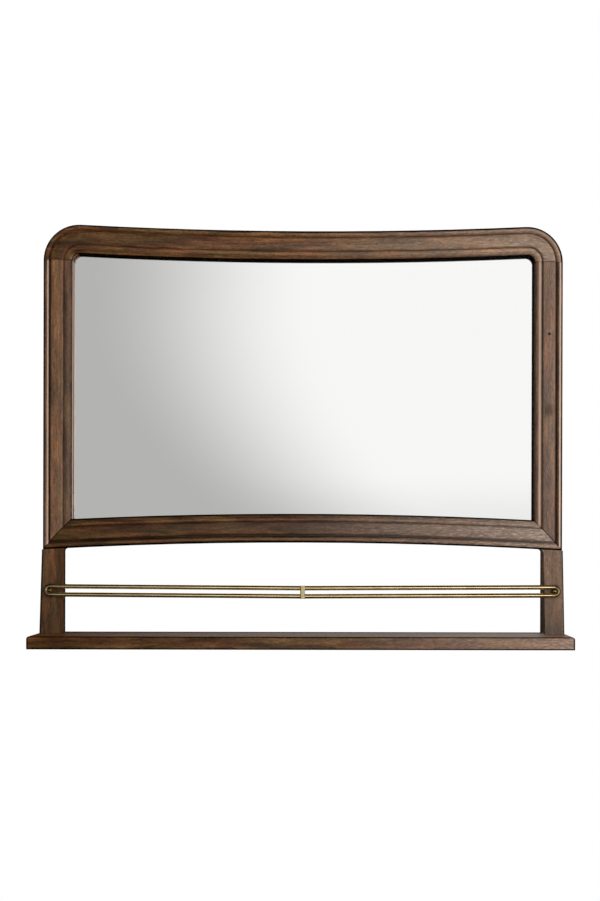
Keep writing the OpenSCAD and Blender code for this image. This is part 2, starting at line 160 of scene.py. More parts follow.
# The frame's joints: butts under the round corners, and mitres from the frame's foot to the sight edge
TOE = Vector((HALF_W, FOOT_Z))
HEEL_X = HALF_W - MOULDING_W
HEEL = Vector((HEEL_X, FOOT_CENTRE_Z + math.sqrt((ARCH_R + MOULDING_W) ** 2 - HEEL_X ** 2)))
MITRE_ACROSS = Vector((HEEL.y - TOE.y, TOE.x - HEEL.x)).normalized()
MITRE = (MITRE_ACROSS.x, MITRE_ACROSS.y, MITRE_ACROSS.dot(TOE), 0.15)
BUTT = (0.0, 1.0, CORNER_Z, 0.4)


def grain_noise(tree, grain, along_mm, across_mm, detail, roughness, distortion=0.0):
    """Noise drawn out along the grain, with one feature in about these lengths."""
    scale = (1000 / along_mm, 1000 / across_mm, 1000 / across_mm)
    drawn = add_node(tree, "ShaderNodeMapping", {"Vector": grain, "Scale": scale}).outputs[0]
    return add_node(tree, "ShaderNodeTexNoise", {
        "Vector": drawn, "Scale": 1.0, "Detail": detail, "Roughness": roughness, "Distortion": distortion,
    }).outputs["Fac"]


def joint_shade(tree, place, joint):
    """Dark hairline where two pieces of the frame meet, on the plane nx * |x| + nz * z = level."""
    nx, nz, level, dark = joint
    parts = add_node(tree, "ShaderNodeSeparateXYZ", (place,)).outputs
    side = add_node(tree, "ShaderNodeMath", (parts["X"],), operation="ABSOLUTE").outputs[0]
    reach = add_node(tree, "ShaderNodeMath", (side, nx), operation="MULTIPLY").outputs[0]
    reach = add_node(tree, "ShaderNodeMath", (parts["Z"], nz, reach), operation="MULTIPLY_ADD").outputs[0]
    off = add_node(tree, "ShaderNodeMath", (reach, level), operation="SUBTRACT").outputs[0]
    off = add_node(tree, "ShaderNodeMath", (off,), operation="ABSOLUTE").outputs[0]
    return add_node(tree, "ShaderNodeMapRange", (off, 0.4 * MM, 1.4 * MM, dark, 1.0)).outputs[0]


def edge_shade(tree, place, edge):
    """Painted shade along an edge: the axis it is measured on, the edge's place, how far the dark line
    reaches in from it, and how dark it is. It stops short of the face that ends there."""
    axis, level, reach, dark = edge
    parts = add_node(tree, "ShaderNodeSeparateXYZ", (place,)).outputs
    off = add_node(tree, "ShaderNodeMath", (parts[axis], level), operation="SUBTRACT").outputs[0]
    off = add_node(tree, "ShaderNodeMath", (off,), operation="ABSOLUTE").outputs[0]
    inner = add_node(tree, "ShaderNodeMapRange", (off, 0.5 * reach, reach, dark, 1.0)).outputs[0]
    outer = add_node(tree, "ShaderNodeMapRange", (off, 0.02 * MM, 0.06 * MM, 1.0, 0.0)).outputs[0]
    return add_node(tree, "ShaderNodeMath", (inner, outer), operation="MAXIMUM").outputs[0]


def knot_shade(tree, place, knot):
    """A dark patch or pin knot: its place, its half width and half height, and how dark its middle is."""
    x, z, half_x, half_z, dark = knot
    moved = add_node(tree, "ShaderNodeMapping", {
        "Vector": place, "Location": (-x / half_x, 0, -z / half_z), "Scale": (1 / half_x, 0, 1 / half_z),
    }).outputs[0]
    off = add_node(tree, "ShaderNodeVectorMath", (moved,), operation="LENGTH").outputs["Value"]
    return add_node(tree, "ShaderNodeMapRange", (off, 0.2, 1.0, dark, 1.0),
                    interpolation_type="SMOOTHSTEP").outputs[0]


def stain_colour(tree, grain):
    """Wiped brown stain, which took unevenly: red-brown and olive-brown lie side by side in long streaks."""
    hue = grain_noise(tree, grain, 120, 16, 3, 0.6, 0.6)      # which of the two browns
    depth = grain_noise(tree, grain, 80, 11, 3, 0.6, 0.5)     # how much of it stayed
    reds = set_stops(add_node(tree, "ShaderNodeValToRGB", (depth,)), RED_BROWNS)
    olives = set_stops(add_node(tree, "ShaderNodeValToRGB", (depth,)), OLIVE_BROWNS)
    olive_share = add_node(tree, "ShaderNodeMapRange", (hue, 0.42, 0.58, 0.0, 1.0)).outputs[0]
    return add_node(tree, "ShaderNodeMix", {"Factor": olive_share, "A": reds, "B": olives},
                    data_type="RGBA").outputs["Result"]


def figure_shade(tree, grain, vessels, pore_shade, strength):
    """How the wood's own figure darkens and lightens it: growth rings, short streaks, vessels and pores."""
    rings = grain_noise(tree, grain, 320, 6, 2, 0.55, 0.9)    # cut along the board
    streaks = grain_noise(tree, grain, 34, 2.6, 3, 0.65)      # dark and tan
    shade = product(
        tree,
        add_node(tree, "ShaderNodeMapRange", (rings, 0.35, 0.65, 0.86, 1.14)).outputs[0],
        add_node(tree, "ShaderNodeMapRange", (streaks, 0.30, 0.70, 0.72, 1.28)).outputs[0],
        add_node(tree, "ShaderNodeMapRange", (vessels, 0.35, 0.65, 0.72, 1.28)).outputs[0],
        pore_shade,
    )
    shade = add_node(tree, "ShaderNodeMath", (shade, 1.0), operation="SUBTRACT").outputs[0]
    shade = add_node(tree, "ShaderNodeMath", (shade, strength, 1.0), operation="MULTIPLY_ADD").outputs[0]
    return add_node(tree, "ShaderNodeMath", (shade, DARKEST_FIGURE), operation="MAXIMUM").outputs[0]


def dark_shade(tree, place, wear_and_shading, edges, joints, knots):
    """All the dark lines and patches: painted shade along edges, dark joints and knots."""
    return product(
        tree,
        add_node(tree, "ShaderNodeMapRange", (wear_and_shading, BLACK, HOLLOW, 0.04, 1.0)).outputs[0],
        *[edge_shade(tree, place, edge) for edge in edges],
        *[joint_shade(tree, place, joint) for joint in joints],
        *[knot_shade(tree, place, knot) for knot in knots],
    )


def pale_and_highlight_share(tree, grain, wear_and_shading, filler_share, crest_wear_and_highlight, dark):
    """How much is pale: pale filling left in and round the pores, with painted sheen laid over it, and crests
    worn through, with painted highlight on them. Little of it shows in the hollows, and the dark lines hide
    it."""
    flecks = grain_noise(tree, grain, 9, 1.8, 2, 0.6)         # where filler stayed
    # pale filling in flecks, and the painted sheen that filler_share lays on towards the lit end
    pale_flecks_and_sheen = product(
        tree,
        add_node(tree, "ShaderNodeMapRange", (flecks, 0.46, 0.74, 0.16, 0.52)).outputs[0],
        filler_share,
        dark,
        add_node(tree, "ShaderNodeMapRange", (wear_and_shading, -0.9, -0.2, 0.35, 1.0)).outputs[0],
    )
    # crests painted pale: wear, and painted highlight
    worn_and_highlit = add_node(tree, "ShaderNodeMapRange", (wear_and_shading, WORN, PALE, 0.0, 1.0)).outputs[0]
    crests = product(tree, worn_and_highlit, crest_wear_and_highlight)
    return add_node(tree, "ShaderNodeMath", (pale_flecks_and_sheen, crests), operation="MAXIMUM").outputs[0]


def hardwood(name, grain_along, shift, reach=(-0.45, 0.45), lightness=(1.0, 1.0), figure=(1.0, 1.0),
             hollow=(0.3, 0.3), filler=(0.0, 0.0), crests=(0.8, 0.8), lacquer=(1.0, 1.0),
             joints=(), edges=(), knots=()):
    """Open-pored hardwood such as mango, wiped with brown stain and sprayed with satin lacquer. Painted shade
    lies dark along the edges, and stain with painted shade in the hollows of the moulding; the crests are
    worn pale with painted highlight on them; pale filling shows in and round the pores, with painted sheen
    over it. Pairs of values run from one end of reach to the other: how light the wood is, how strong its
    figure, how light the hollows stay, how much pale filling and painted sheen show, how pale the most worn
    and highlit crests are and how full the lacquer is. Pale filling and sheen that start below 0 begin to
    show further on."""
    material, tree, shader = new_material(name)
    place = add_node(tree, "ShaderNodeTexCoord").outputs["Object"]
    turn = (0, 0, 0) if grain_along == "x" else (0, math.radians(90), 0)
    grain = add_node(tree, "ShaderNodeMapping", {
        "Vector": place, "Rotation": turn, "Location": shift}).outputs[0]
    parts = add_node(tree, "ShaderNodeSeparateXYZ", (place,)).outputs
    along = parts["X"] if grain_along == "x" else parts["Z"]
    light, strength, hollow_light, filler_share, crest_wear_and_highlight, sheen = [
        add_node(tree, "ShaderNodeMapRange", (along, *reach, *pair)).outputs[0]
        for pair in (lightness, figure, hollow, filler, crests, lacquer)]
    wear_and_shading = add_node(tree, "ShaderNodeAttribute", attribute_name="wear_and_shading").outputs["Fac"]

    vessels = grain_noise(tree, grain, 5, 2.0, 2, 0.6)        # figure at the size of single vessels
    pores = grain_noise(tree, grain, 13, 1.5, 1, 0.5)         # open pores, 0.3 mm wide, drawn 1.5 mm to show
    pore_shade = add_node(tree, "ShaderNodeMapRange", (pores, 0.60, 0.70, 1.0, 0.55)).outputs[0]

    dark = dark_shade(tree, place, wear_and_shading, edges, joints, knots)
    tone = product(
        tree,
        figure_shade(tree, grain, vessels, pore_shade, strength),
        dark,
        # hollows darkened by stain and painted shade; crests and faces that look up lightened by wear and
        # painted light
        add_node(tree, "ShaderNodeMapRange", (wear_and_shading, HOLLOW, PLAIN, hollow_light, 1.0)).outputs[0],
        add_node(tree, "ShaderNodeMapRange", (wear_and_shading, PLAIN, WORN, 1.0, 1.5)).outputs[0],
        light,
    )
    stained = add_node(tree, "ShaderNodeVectorMath", {0: stain_colour(tree, grain), "Scale": tone},
                       operation="SCALE").outputs[0]
    pale = pale_and_highlight_share(tree, grain, wear_and_shading, filler_share, crest_wear_and_highlight, dark)
    colour = add_node(tree, "ShaderNodeMix", {"Factor": pale, "A": stained, "B": srgb(PALE_WOOD_AND_HIGHLIGHT)},
                      data_type="RGBA").outputs["Result"]
    relief = add_node(tree, "ShaderNodeMath", (pore_shade, vessels), operation="ADD").outputs[0]
    bump = add_node(tree, "ShaderNodeBump", {
        "Strength": 0.3, "Distance": 0.3 * MM, "Height": relief}).outputs[0]
    feed(shader, {
        "Base Color": colour, "Normal": bump, "Roughness": 0.5,
        "Specular IOR Level": 0.0,    # the wood lies under the lacquer, so the lacquer alone shines
        "Coat Normal": bump, "Coat Roughness": 0.30,
        "Coat Weight": product(tree, dark, sheen),    # thin on the dark lines of painted shade, joints and knots
    })
    return material


# ---- metals, glass and the hidden materials ----
def brass_noise(tree, place, scale):
    """Noise with about this many features to the metre, along each axis."""
    spread = add_node(tree, "ShaderNodeMapping", {"Vector": place, "Scale": scale}).outputs[0]
    return add_node(tree, "ShaderNodeTexNoise", {"Vector": spread, "Scale": 1.0, "Detail": 2}).outputs["Fac"]


def drawn_brass():
    """Drawn brass rod, polished, with clear lacquer: pale yellow, with faint lines along the rod from the
    drawing die. The bends round the screws are made brown and rougher: painted dark reflection of the wood
    beside them."""
    material, tree, shader = new_material("polished_brass_rod")
    place = add_node(tree, "ShaderNodeTexCoord").outputs["Object"]
    lines = brass_noise(tree, place, (14, 900, 900))    # under 0.1 mm apart, drawn 1.1 mm to show
    blotch = brass_noise(tree, place, (38, 38, 38))     # patches 26 mm across
    ramp = add_node(tree, "ShaderNodeValToRGB", (blotch,))
    bright = set_stops(ramp, [(0.35, "#e0c48c"), (0.65, "#f0dba8")])
    # painted dark reflection at the bends round the screws: brown, and rougher
    x = add_node(tree, "ShaderNodeSeparateXYZ", (place,)).outputs["X"]
    left_bend = add_node(tree, "ShaderNodeMapRange", (x, -EYE_X - 5 * MM, -EYE_X + 15 * MM, 0.9, 0.0),
                         interpolation_type="SMOOTHSTEP").outputs[0]
    right_bend = add_node(tree, "ShaderNodeMapRange", (x, EYE_X - 8 * MM, EYE_X + 5 * MM, 0.0, 0.9),
                          interpolation_type="SMOOTHSTEP").outputs[0]
    dull = add_node(tree, "ShaderNodeMath", (left_bend, right_bend), operation="ADD").outputs[0]
    colour = add_node(tree, "ShaderNodeMix", {"Factor": dull, "A": bright, "B": srgb("#75644a")},
                      data_type="RGBA").outputs["Result"]
    polish = add_node(tree, "ShaderNodeMapRange", (lines, 0.3, 0.7, 0.10, 0.18)).outputs[0]
    rough = add_node(tree, "ShaderNodeMath", (dull, 0.3, polish), operation="MULTIPLY_ADD").outputs[0]
    feed(shader, {"Base Color": colour, "Roughness": rough, "Metallic": 1.0})
    return material


def filed_brass():
    """Sheet brass, filed flat and left dull: the spacer that the rods are brazed to."""
    material, tree, shader = new_material("filed_brass_spacer")
    place = add_node(tree, "ShaderNodeTexCoord").outputs["Object"]
    scratches = brass_noise(tree, place, (1400, 1400, 160))    # 0.2 mm wide, drawn 0.7 mm to show
    ramp = add_node(tree, "ShaderNodeValToRGB", (scratches,))
    colour = set_stops(ramp, [(0.35, "#b9a678"), (0.65, "#cdbd92")])
    rough = add_node(tree, "ShaderNodeMapRange", (scratches, 0.3, 0.7, 0.34, 0.46)).outputs[0]
    feed(shader, {"Base Color": colour, "Roughness": rough, "Metallic": 1.0})
    return material


def aged_brass():
    """Brass screw heads, unlacquered: browned by air in patches, and smoother where they stay bright."""
    material, tree, shader = new_material("aged_brass_screw")
    place = add_node(tree, "ShaderNodeTexCoord").outputs["Object"]
    bloom = brass_noise(tree, place, (320, 320, 320))    # patches 3 mm across
    ramp = add_node(tree, "ShaderNodeValToRGB", (bloom,))
    colour = set_stops(ramp, [(0.35, "#6b5634"), (0.65, "#a58a5a")])
    rough = add_node(tree, "ShaderNodeMapRange", (bloom, 0.3, 0.7, 0.36, 0.22)).outputs[0]
    feed(shader, {"Base Color": colour, "Roughness": rough, "Metallic": 1.0})
    return material


def float_glass():
    """Clear float glass, 4 mm: it bends the view of the silver behind it, so a dark line shows at the lip."""
    material, _, shader = new_material("clear_float_glass")
    feed(shader, {"Base Color": WHITE, "Transmission Weight": 1.0, "Roughness": 0.0, "IOR": 1.52})
    return material


def silver_coat():
    """Silver deposited on the back of the glass: a clean mirror."""
    material, _, shader = new_material("mirror_silver")
    feed(shader, {"Base Color": WHITE, "Metallic": 1.0, "Roughness": 0.0})
    return material


def edge_paint():
    """Matt black paint on the cut edges of the glass, so that no light line shows beside the frame."""
    material, _, shader = new_material("black_edge_paint")
    feed(shader, {"Base Color": srgb("#14130f"), "Roughness": 0.8})
    return material


def hardboard():
    """Tempered hardboard: pressed brown fibre, smooth and a little mottled."""
    material, tree, shader = new_material("hardboard")
    place = add_node(tree, "ShaderNodeTexCoord").outputs["Object"]
    fibre = add_node(tree, "ShaderNodeTexNoise", {
        "Vector": place, "Scale": 420.0, "Detail": 4}).outputs["Fac"]    # under 0.1 mm, drawn 2.4 mm to show
    cloud = add_node(tree, "ShaderNodeTexNoise", {
        "Vector": place, "Scale": 22.0, "Detail": 3}).outputs["Fac"]     # patches 45 mm across
    mixed = add_node(tree, "ShaderNodeMath", (cloud, 0.3, fibre), operation="MULTIPLY_ADD").outputs[0]
    mottle = add_node(tree, "ShaderNodeMapRange", (mixed, 0.45, 0.85, 0.0, 1.0)).outputs[0]
    ramp = add_node(tree, "ShaderNodeValToRGB", (mottle,))
    colour = set_stops(ramp, [(0.2, "#664630"), (0.8, "#8d6a4b")])
    bump = add_node(tree, "ShaderNodeBump", {
        "Strength": 0.2, "Distance": 0.1 * MM, "Height": fibre}).outputs[0]
    feed(shader, {"Base Color": colour, "Normal": bump, "Roughness": 0.5})
    return material


def zinc_plate():
    """Zinc-plated steel: pale grey, slightly cloudy, half bright."""
    material, tree, shader = new_material("zinc_plated_steel")
    place = add_node(tree, "ShaderNodeTexCoord").outputs["Object"]
    cloud = add_node(tree, "ShaderNodeTexNoise", {
        "Vector": place, "Scale": 240.0, "Detail": 3}).outputs["Fac"]    # patches 4 mm across
    rough = add_node(tree, "ShaderNodeMapRange", (cloud, 0.3, 0.7, 0.25, 0.42)).outputs[0]
    feed(shader, {"Base Color": srgb("#c3c6c8"), "Roughness": rough, "Metallic": 1.0})
    return material


def bare_beech():
    """Bare beech dowel: pale, with fine short flecks."""
    material, tree, shader = new_material("bare_beech")
    place = add_node(tree, "ShaderNodeTexCoord").outputs["Object"]
    fleck = add_node(tree, "ShaderNodeTexNoise", {
        "Vector": place, "Scale": 500.0, "Detail": 2}).outputs["Fac"]    # flecks 2 mm long
    ramp = add_node(tree, "ShaderNodeValToRGB", (fleck,))
    colour = set_stops(ramp, [(0.35, "#b08a60"), (0.65, "#d0ad80")])
    feed(shader, {"Base Color": colour, "Roughness": 0.7})
    return material


# ---- how worn the wooden pieces are, and where shade and highlights are painted on them ----
# Places across the moulding, in mm from the outer edge, and how the wood is there, painted shade and
# highlights included
WEAR_AND_SHADING_ACROSS = {
    "left_stile": [
        (0, -2), (2.5, -2), (3.3, -0.5), (6.1, -0.35), (7.0, 0.8), (7.9, 2.0), (9.65, 2.0), (10.4, 0.3),
        (11.05, -0.9), (14, -0.9), (14.3, 0.3), (16.5, 0.5), (20, 0.1), (33.4, 0), (34.6, -0.1),
        (35.9, -0.7), (37, -0.7), (38.5, -0.5), (44, -0.6), (47, -0.5), (50, -0.9)],
    "right_stile": [
        (0, -2), (2.1, -2), (2.7, -0.4), (3.3, 0.4), (4.2, 1.6), (5.1, 2), (6.1, 1.7), (7.0, 0.2), (8, -0.6),
        (12, -0.9), (14, -0.6), (14.3, 0.6), (15.4, 1.2), (16.6, 0.7), (20, 0), (33.4, 0.2), (34.6, 1.1),
        (35.5, 1.2), (35.9, -0.9), (37, -0.8), (38.5, 1.2), (40, 1.7), (41.6, 1.6), (43, 1.2), (46, 1.0),
        (48.3, -0.4), (50, -1)],
    "top_rail": [
        (0, -2), (3.7, -2), (4.3, -0.1), (5, 0.9), (7, 0.9), (10, 0.1), (11.6, -0.8), (14, -0.8), (14.3, 0.3),
        (16.6, 0.4), (20, 0), (33.4, 0), (35.5, 0.4), (35.9, -0.8), (37, -0.8), (38.5, 1.3), (40, 1.2),
        (42, 0.4), (46, 0), (48.3, -0.9), (49.2, -2), (50, -2)],
    "bottom_rail": [
        (0, -2), (2.5, -2), (3.3, -0.1), (5, 1.1), (6.1, 1.4), (7, 1.2), (9, -0.1), (11.6, -0.9), (14, -0.9),
        (14.3, 0.3), (16.6, 0.5), (20, 0), (33.4, 0), (35.5, 0.3), (35.9, -0.9), (37, -0.9), (38.5, 0.6),
        (40, 1.1), (42, 0.5), (46, 0), (47.2, -0.5), (48.3, -2), (50, -2)],
}
# The sides of the lip round the mirror: painted pale as lit where they look up or to the right, and painted
# nearly black as shade elsewhere
LIP_LIT = 1.8
LIP_SHADED = BLACK
LIP_WITHIN_MM = 0.5


def distance_in(node, point):
    """How far a point lies in from the outer edge of its piece of the frame."""
    x, z = abs(point.x), point.z
    if node == "bottom_rail":
        return math.hypot(x, z - FOOT_CENTRE_Z) - ARCH_R
    if node == "top_rail":
        if x > CORNER_X - (z - CORNER_Z) * math.tan(LEAN):
            return CORNER_R - math.hypot(x - CORNER_X, z - CORNER_Z)
        return math.hypot(x, z - TOP_CENTRE_Z) - ARCH_R
    return HALF_W - x


def moulding_wear_and_shading(node, face, spot):
    """Follows the moulding across its front. Its flat sides stay plain, apart from those of the lip, painted
    lit or shaded by the way they face.
    """
    inset_mm = distance_in(node, spot.co) / MM
    if abs(face.normal.y) > 0.15:
        across = WEAR_AND_SHADING_ACROSS[node]
        for (a, low), (b, high) in zip(across, across[1:]):
            if inset_mm <= b:
                return low + (high - low) * max(0.0, inset_mm - a) / (b - a)
        return across[-1][1]
    if abs(inset_mm - MOULDING_W / MM) >= LIP_WITHIN_MM:
        return PLAIN
    return LIP_LIT if max(face.normal.x, face.normal.z) > 0.3 else LIP_SHADED


def plain_wear_and_shading(face, spot, arris):
    """Grows to what arris says round the outer and upper rounded edges, where a value below 0 is painted
    shade.
    Faces that look up are painted lighter, as painted light."""
    rounded = max(abs(part) for part in face.normal) < 0.97
    outer = face.normal.z > 0.1 or face.normal.x * face.center.x > 0.1 * abs(face.center.x)
    if rounded and outer:
        return arris * min(1.0, 1.6 * (1.0 - abs(spot.normal.y)))
    return WORN if face.normal.z > 0.9 else PLAIN


def mark_wear_and_shading(mesh, node, moulded, arris):
    """Writes how worn each corner of each face is, with its painted shade and highlights."""
    wear_and_shading = []
    for face in mesh.polygons:
        for vert in face.vertices:
            spot = mesh.vertices[vert]
            wear_and_shading.append(moulding_wear_and_shading(node, face, spot) if moulded else plain_wear_and_shading(face, spot, arris))
    mesh.attributes.new("wear_and_shading", "FLOAT", "CORNER").data.foreach_set("value", wear_and_shading)


# ---- pieces in the exact shape of their solids, shaded smooth round the moulding ----
SAME_POINT = 0.002 * MM
SMOOTH_BELOW = math.radians(28)


def merged_solids(node):
    """A node's solids, to work on, with the points that their triangles share made one."""
    work = bmesh.new()
    work.from_mesh(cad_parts[node].data)
    bmesh.ops.remove_doubles(work, verts=work.verts, dist=SAME_POINT)
    return work


def finished_copy(node, materials, name, pick=None, moulded=False, arris=0.0):
    """A piece in the exact shape of its solid, with its curved faces shaded smooth. Where there are more
    materials than one, pick says from a face's normal which it takes."""
    work = merged_solids(node)
    mesh = bpy.data.meshes.new(name)
    work.to_mesh(mesh)
    work.free()
    for layer in [a.name for a in mesh.attributes if a.name.startswith("custom_normal")]:
        mesh.attributes.remove(mesh.attributes[layer])
    mesh.polygons.foreach_set("use_smooth", [True] * len(mesh.polygons))
    mesh.set_sharp_from_angle(angle=SMOOTH_BELOW)
    mesh.materials.clear()
    for material in materials:
        mesh.materials.append(material)
    if pick:
        for face in mesh.polygons:
            face.material_index = pick(face.normal)
    mark_wear_and_shading(mesh, node, moulded, arris)
    piece = bpy.data.objects.new(name, mesh)
    bpy.context.scene.collection.objects.link(piece)
    even = piece.modifiers.new("even_shading", "WEIGHTED_NORMAL")
    even.keep_sharp = True
    even.weight = 80
    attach(piece, BODY)
    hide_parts(node)


def wooden(node, grain_along, shift, moulded=False, arris=0.0, **looks):
    """One wooden piece, with its own cut of the wood."""
    finish = hardwood(node + "_hardwood", grain_along, shift, **looks)
    finished_copy(node, [finish], node + "_wood", moulded=moulded, arris=arris)


STILE_REACH = (-0.43, 0.07)
POST_REACH = (-0.575, -0.44)
# Painted shade on the pieces' faces towards the wall
BY_WALL = ("Y", -0.5 * MM, 13 * MM, 0.12)
# Along each piece, filler lays painted sheen over the pale filling towards the lit end, crests sets how pale
# the painted crest highlights are, and hollow over 1 paints hollows lighter to take out their shade
wooden("top_rail", "x", (0.43, 0.12, 0.40), moulded=True, lightness=(0.77, 1.06), figure=(0.85, 1.4),
       hollow=(2.2, 0.1), filler=(-1.1, 1.4), crests=(0.0, 0.8), lacquer=(0.2, 0.9), joints=[BUTT])
wooden("bottom_rail", "x", (1.7, 0.52, 0.9), moulded=True, lightness=(0.56, 0.46), figure=(0.8, 1.2),
       hollow=(0.5, 0.05), filler=(-1.7, 1.9), crests=(0.0, 0.9), lacquer=(0.15, 0.9), joints=[MITRE])
wooden("left_stile", "z", (2.3, 0.9, 1.35), moulded=True, reach=STILE_REACH, lightness=(1.15, 1.15),
       figure=(1.0, 1.0), hollow=(0.15, 0.25), filler=(0.5, 0.2), crests=(1.0, 1.0), lacquer=(0.4, 0.4),
       joints=[BUTT, MITRE])
wooden("right_stile", "z", (3.1, 1.4, 0.2), moulded=True, reach=STILE_REACH, lightness=(0.66, 0.78),
       figure=(0.9, 1.1), hollow=(0.3, 0.3), filler=(0.3, 0.5), crests=(1.0, 1.0), lacquer=(0.7, 0.7),
       joints=[BUTT, MITRE],
       knots=[(0.425, -0.19, 0.014, 0.018, 0.55), (0.4255, -0.057, 0.0036, 0.0038, 0.0),
              (0.443, -0.21, 0.002, 0.002, 0.2)])
# The posts' outer edges are painted dark as shade, and their rounded edges too where arris is below 0
wooden("left_post", "z", (4.2, 0.33, 0.71), arris=-2.0, reach=POST_REACH, lightness=(0.72, 1.0),
       figure=(0.5, 0.6), lacquer=(0.3, 0.3), edges=[BY_WALL, ("X", -HALF_W, 3.8 * MM, 0.03)])
wooden("right_post", "z", (5.4, 0.61, 0.15), arris=-1.7, reach=POST_REACH, lightness=(0.6, 0.8),
       figure=(0.6, 0.8), filler=(0.1, 0.5), lacquer=(0.7, 0.7),
       edges=[BY_WALL, ("X", HALF_W, 2.6 * MM, 0.15)])
# The shelf's underside edge, its ends, its top towards the wall and its rounded edges are painted dark as
# shade
wooden("shelf_board", "x", (6.6, 0.83, 0.27), arris=-1.8, lightness=(0.64, 0.98), figure=(0.7, 1.1),
       filler=(-1.8, 1.3), lacquer=(0.0, 0.8),
       edges=[("Z", SHELF_UNDER_Z, 3.0 * MM, 0.03), ("Y", -0.5 * MM, 30 * MM, 0.35),
              ("X", -SHELF_HALF_W, 3.2 * MM, 0.03), ("X", SHELF_HALF_W, 3.2 * MM, 0.03)])


def glass_layer(normal):
    """Clear in front, silver behind and paint on the cut edges."""
    if abs(normal.y) < 0.9:
        return 2
    return 1 if normal.y > 0 else 0


finished_copy("mirror_glass", [float_glass(), silver_coat(), edge_paint()], "silvered_glass",
              pick=glass_layer)


# ---- brass rail: a rod swept along its path, from the spacer round the eye and back ----
EYE_STEPS = 24
ROD_SIDES = 48
ROD_SMOOTH_BELOW = math.radians(50)


def rail_path(side):
    """Points of the rod's centre line, on the plane that lies along the posts' front faces."""
    run = EYE_X - SPACER_W / 2 - SEAT_GAP
    turns = [math.pi * (i / EYE_STEPS - 0.5) for i in range(EYE_STEPS + 1)]
    flat = [(-run, -ROD_PITCH / 2)]
    flat += [(ROD_PITCH / 2 * math.cos(a), ROD_PITCH / 2 * math.sin(a)) for a in turns]
    flat.append((-run, ROD_PITCH / 2))
    droop = math.asin(RAIL_SAG / (EYE_X - SPACER_W / 2))
    rod_axis = ROD_D / 2 + SEAT_GAP
    points = []
    for u, v in flat:
        x = EYE_X + u * math.cos(droop) - v * math.sin(droop)
        up = u * math.sin(droop) + v * math.cos(droop)
        z = RAIL_Z + up * math.cos(POST_SLOPE) + rod_axis * math.sin(POST_SLOPE)
        y = -(RAIL_DEPTH - up * math.sin(POST_SLOPE) + rod_axis * math.cos(POST_SLOPE))
        points.append((side * x, y, z))
    return points


def swept_rod_tree():
    """Geometry Nodes: sweeps a round bar along the curve it is given, with closed ends."""
    tree = bpy.data.node_groups.new("swept_rod", "GeometryNodeTree")
    tree.interface.new_socket("Path", in_out="INPUT", socket_type="NodeSocketGeometry")
    tree.interface.new_socket("Rod radius", in_out="INPUT", socket_type="NodeSocketFloat")
    tree.interface.new_socket("Sides", in_out="INPUT", socket_type="NodeSocketInt")
    tree.interface.new_socket("Finish", in_out="INPUT", socket_type="NodeSocketMaterial")
    tree.interface.new_socket("Rod", in_out="OUTPUT", socket_type="NodeSocketGeometry")
    given = add_node(tree, "NodeGroupInput").outputs
    ring = add_node(tree, "GeometryNodeCurvePrimitiveCircle", {
        "Resolution": given["Sides"], "Radius": given["Rod radius"]}).outputs["Curve"]
    bar = add_node(tree, "GeometryNodeCurveToMesh", {
        "Curve": given["Path"], "Profile Curve": ring, "Fill Caps": True}).outputs["Mesh"]
    real = add_node(tree, "GeometryNodeRealizeInstances", {"Geometry": bar}).outputs["Geometry"]
    smooth = add_node(tree, "GeometryNodeSetShadeSmooth", {"Geometry": real}).outputs["Geometry"]
    done = add_node(tree, "GeometryNodeSetMaterial", {
        "Geometry": smooth, "Material": given["Finish"]}).outputs["Geometry"]
    add_node(tree, "NodeGroupOutput", {"Rod": done})
    return tree


def grown(piece, tree, values):
    """Runs a Geometry Nodes tree on a piece with these named inputs, and keeps the result as a plain mesh."""
    made = piece.modifiers.new(tree.name, "NODES")
    made.node_group = tree
    for item in tree.interface.items_tree:
        if item.in_out == "INPUT" and item.name in values:
            made[item.identifier] = values[item.name]
    mesh = bpy.data.meshes.new_from_object(piece.evaluated_get(bpy.context.evaluated_depsgraph_get()))
    name = piece.name
    bpy.data.objects.remove(piece)
    solid = bpy.data.objects.new(name, mesh)
    bpy.context.scene.collection.objects.link(solid)
    return solid


def rail_rod(side, node, name, tree, finish):
    """One half of the rail, on the left (-1) or the right (1)."""
    line = bpy.data.curves.new(name + "_path", "CURVE")
    line.dimensions = "3D"
    spline = line.splines.new("POLY")
    points = rail_path(side)
    spline.points.add(len(points) - 1)
    for point, place in zip(spline.points, points):
        point.co = (*place, 1.0)
    path = bpy.data.objects.new(name, line)
    bpy.context.scene.collection.objects.link(path)
    rod = grown(path, tree, {"Rod radius": ROD_D / 2, "Sides": ROD_SIDES, "Finish": finish})
    rod.data.set_sharp_from_angle(angle=ROD_SMOOTH_BELOW)
    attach(rod, BODY)
    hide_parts(node)


brass = drawn_brass()
swept_rod = swept_rod_tree()
rail_rod(-1, "left_rail_loop", "left_rail_rod", swept_rod, brass)
rail_rod(1, "right_rail_loop", "right_rail_rod", swept_rod, brass)


# ---- screws, where the solids have theirs ----
# The cross recess by the head's radius: how far an arm spans, its width, and its height, half of which cuts
ARM_SPAN = 1.15
ARM_W = 0.2
ARM_H = 0.9
POINT_R = 0.2        # of the shank's radius
SHANK_L = 0.9        # of the screw's length
FACING_WALL = (-math.pi / 2, 0.0, 0.0)    # the head's face looks along +Y
FACING_DOWN = (math.pi, 0.0, 0.0)         # the head's face looks along -Z


